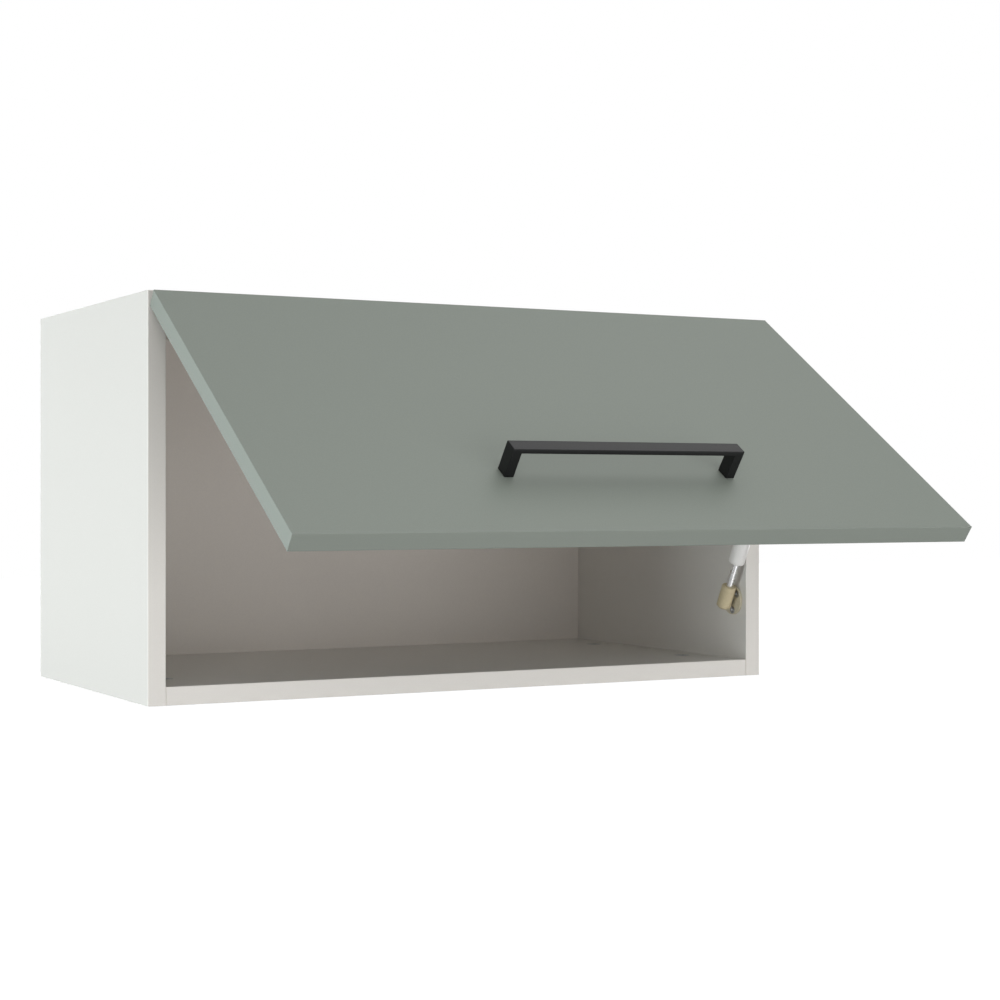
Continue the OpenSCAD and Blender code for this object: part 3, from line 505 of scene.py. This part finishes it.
def screws():
    """Every screw of the cabinet and the door, with its cross recess and head."""
    rear = DEPTH + HANGER_T
    hanger = [at(HANGER_X - along, rear, HANGER_Z - HANGER_SCREW_EDGE, TO_WALL)
              for along in HANGER_SCREWS_IN]
    hanger += [at(HANGER_X - HANGER_SCREW_EDGE, rear, HANGER_Z - down, TO_WALL)
               for down in HANGER_SCREWS_DOWN]
    fitted(copied(screw(*SMALL_SCREW), on_both_sides(hanger)), "hanger_cross_screws", CABINET,
           "hanger_screws")
    plates = [at(HINGE_X + side * HINGE_PLATE_SCREW_X, HINGE_BACK, INSIDE_TOP - HINGE_PLATE_T, DOWN)
              for side in (-1, 1)]
    fitted(copied(screw(*PLATE_SCREW), on_both_sides(plates)), "hinge_plate_cross_screws",
           CABINET, "hinge_plate_screws")
    arms = [at(HINGE_X, y, HINGE_ARM_Z, DOWN) for y in HINGE_ARM_SCREWS]
    fitted(copied(screw(*ARM_SCREW), on_both_sides(arms)), "hinge_arm_pan_screws",
           CABINET, "hinge_arm_screws")
    cups = [at(HINGE_X + side * CUP_SCREW_X, DOOR_IN + CUP_FLANGE_T, CUP_SCREW_Z, TO_WALL)
            for side in (-1, 1)]
    fitted(copied(screw(*SMALL_SCREW), on_both_sides(cups)), "hinge_cup_cross_screws", DOOR,
           "hinge_cup_screws")
    y, z = LOWER_BALL
    round_ball = [at(INSIDE_X - SIDE_PLATE_T, y - SIDE_SCREWS_OUT * cos(radians(turn)),
                     z + SIDE_SCREWS_OUT * sin(radians(turn)), TO_LEFT)
                  for turn in SIDE_SCREWS_TURN]
    fitted(copied(screw(*PLATE_SCREW), round_ball), "strut_plate_cross_screws", CABINET,
           "strut_side_screws")
    bracket = [at(BRACKET_SCREW_X, DOOR_IN + BRACKET_T, STUD[1] + up, TO_WALL)
               for up in BRACKET_SCREWS_UP]
    fitted(copied(screw(*SMALL_SCREW), bracket), "bracket_cross_screws", DOOR,
           "door_bracket_screws")
    grip = [at((HANDLE_LONG - HANDLE_LEG) / 2, DOOR_IN, HANDLE_Z, TO_WALL)]
    fitted(copied(screw(*HANDLE_SCREW), on_both_sides(grip)), "handle_pan_screws", DOOR,
           "handle_screws")


screws()

# ---------- Carcass ----------


def edge_bands():
    """Front bands with a small rounded edge. The top's and the bottom's ends slant back, so
    that the joints show as lines."""
    inner = -INSIDE_X, INSIDE_X
    for name, x, z, slant in (("edge_band_left", (-WIDTH / 2, -INSIDE_X), (0, HEIGHT), 0),
                              ("edge_band_right", (INSIDE_X, WIDTH / 2), (0, HEIGHT), 0),
                              ("edge_band_top", inner, (INSIDE_TOP, HEIGHT), BAND_SLANT),
                              ("edge_band_bottom", inner, (0, BOARD), BAND_SLANT)):
        bm = block(x, (0, BAND), z)
        for corner in [v.co for v in bm.verts if abs(v.co.y) < 1e-4]:
            corner.x -= copysign(slant, corner.x)
        soften(bm, edges_on(bm, 1, 0), BAND_ROUND)
        fitted(bm, name + "_rounded", CABINET, name)


edge_bands()
for fitting in ("hanger_plate_left", "hanger_plate_right", "hinge_plate_left",
                "hinge_plate_right", "hinge_arm_left", "hinge_arm_right", "strut_side_plate"):
    eased(fitting, PRESSED_EDGE)

# ---------- Door ----------


def door_bands():
    """Edge bands of the door, rounded over to its two faces."""
    sides = DOOR_LOW + BAND, DOOR_TOP - BAND
    full = -DOOR_HALF, DOOR_HALF
    for name, x, z, axis, value in (
            ("door_band_top", full, (DOOR_TOP - BAND, DOOR_TOP), 2, DOOR_TOP),
            ("door_band_bottom", full, (DOOR_LOW, DOOR_LOW + BAND), 2, DOOR_LOW),
            ("door_band_left", (-DOOR_HALF, -DOOR_HALF + BAND), sides, 0, -DOOR_HALF),
            ("door_band_right", (DOOR_HALF - BAND, DOOR_HALF), sides, 0, DOOR_HALF)):
        bm = block(x, (DOOR_OUT, DOOR_IN), z)
        outer = [e for e in edges_on(bm, axis, value)
                 if axis == 2 or abs(e.verts[0].co.y - e.verts[1].co.y) < 1e-4]
        soften(bm, outer, DOOR_BAND_ROUND)
        fitted(bm, name + "_rounded", DOOR, name)


def bumpers():
    """Domed stick-on pads in the lower corners of the door's inner face."""
    places = on_both_sides([at(BUMPER_X, DOOR_IN, BUMPER_Z, TO_WALL)])
    fitted(copied(turned(BUMPER_PROFILE, SMALL_STEPS), places), "domed_bumpers", DOOR, "door_bumpers")


door_bands()
bumpers()
for fitting in ("hinge_cup_left", "hinge_cup_right", "door_bracket"):
    eased(fitting, PRESSED_EDGE)
eased("handle", COATED_EDGE)

# ---------- Gas strut ----------


def tube():
    """Enamelled tube: its lower end is rolled in round the rod's guide, and its closed upper
    end carries the stud that the socket screws on."""
    wall = (CYLINDER_R - CYLINDER_ROUND, CYLINDER_LOW + CYLINDER_ROUND)
    bore_top = CYLINDER_TOP - CYLINDER_HEAD
    fitted(turned(
        [(0, bore_top), (CYLINDER_BORE_R, bore_top),
         (CYLINDER_BORE_R, CYLINDER_LOW + CYLINDER_LIP)]
        + arc(wall, CYLINDER_ROUND, 30, 90, 8)
        + arc((CYLINDER_R - HEAD_ROUND, CYLINDER_TOP - HEAD_ROUND), HEAD_ROUND, 90, 180, 4)
        + [(TAIL_R, CYLINDER_TOP), (TAIL_R, CYLINDER_TOP + TAIL_LONG), (0, CYLINDER_TOP + TAIL_LONG)]
    ), "enamelled_tube", STRUT, "strut_cylinder")


def rod():
    """Chromed rod with its ends just broken."""
    fitted(turned(
        [(0, ROD_LOW), (ROD_R - ROD_BROKEN, ROD_LOW), (ROD_R, ROD_LOW + ROD_BROKEN),
         (ROD_R, ROD_TOP - ROD_BROKEN), (ROD_R - ROD_BROKEN, ROD_TOP), (0, ROD_TOP)]
    ), "chromed_rod", STRUT, "strut_rod")


def ball_studs():
    """The lower ball on its neck, and the upper one with its flange. Both point along z."""
    waist = 180 - degrees(asin(BALL_NECK_R / BALL_R))    # where the ball's round meets its neck
    ball = arc((0, 0), BALL_R, 0, waist, 16)
    long = INSIDE_X - STRUT_X
    fitted(turned(ball + [(BALL_NECK_R, long), (0, long)]), "side_ball_stud",
           CABINET @ at(STRUT_X, *LOWER_BALL, TO_RIGHT), "strut_side_ball")
    low = STRUT_X - FLANGE_X - FLANGE_T
    high, inner = low + FLANGE_T, FLANGE_R - FLANGE_BROKEN
    flange = [(BALL_NECK_R, low), (inner, low), (FLANGE_R, low + FLANGE_BROKEN),
              (FLANGE_R, high - FLANGE_BROKEN), (inner, high), (0, high)]
    fitted(turned(ball + flange), "upper_ball_stud",
           STRUT @ at(0, 0, STRUT_LENGTH, TO_LEFT), "strut_upper_stud")


tube()
rod()
ball_studs()
for fitting in ("strut_rod_socket", "strut_cylinder_socket"):
    eased(fitting, MOULDED_EDGE)
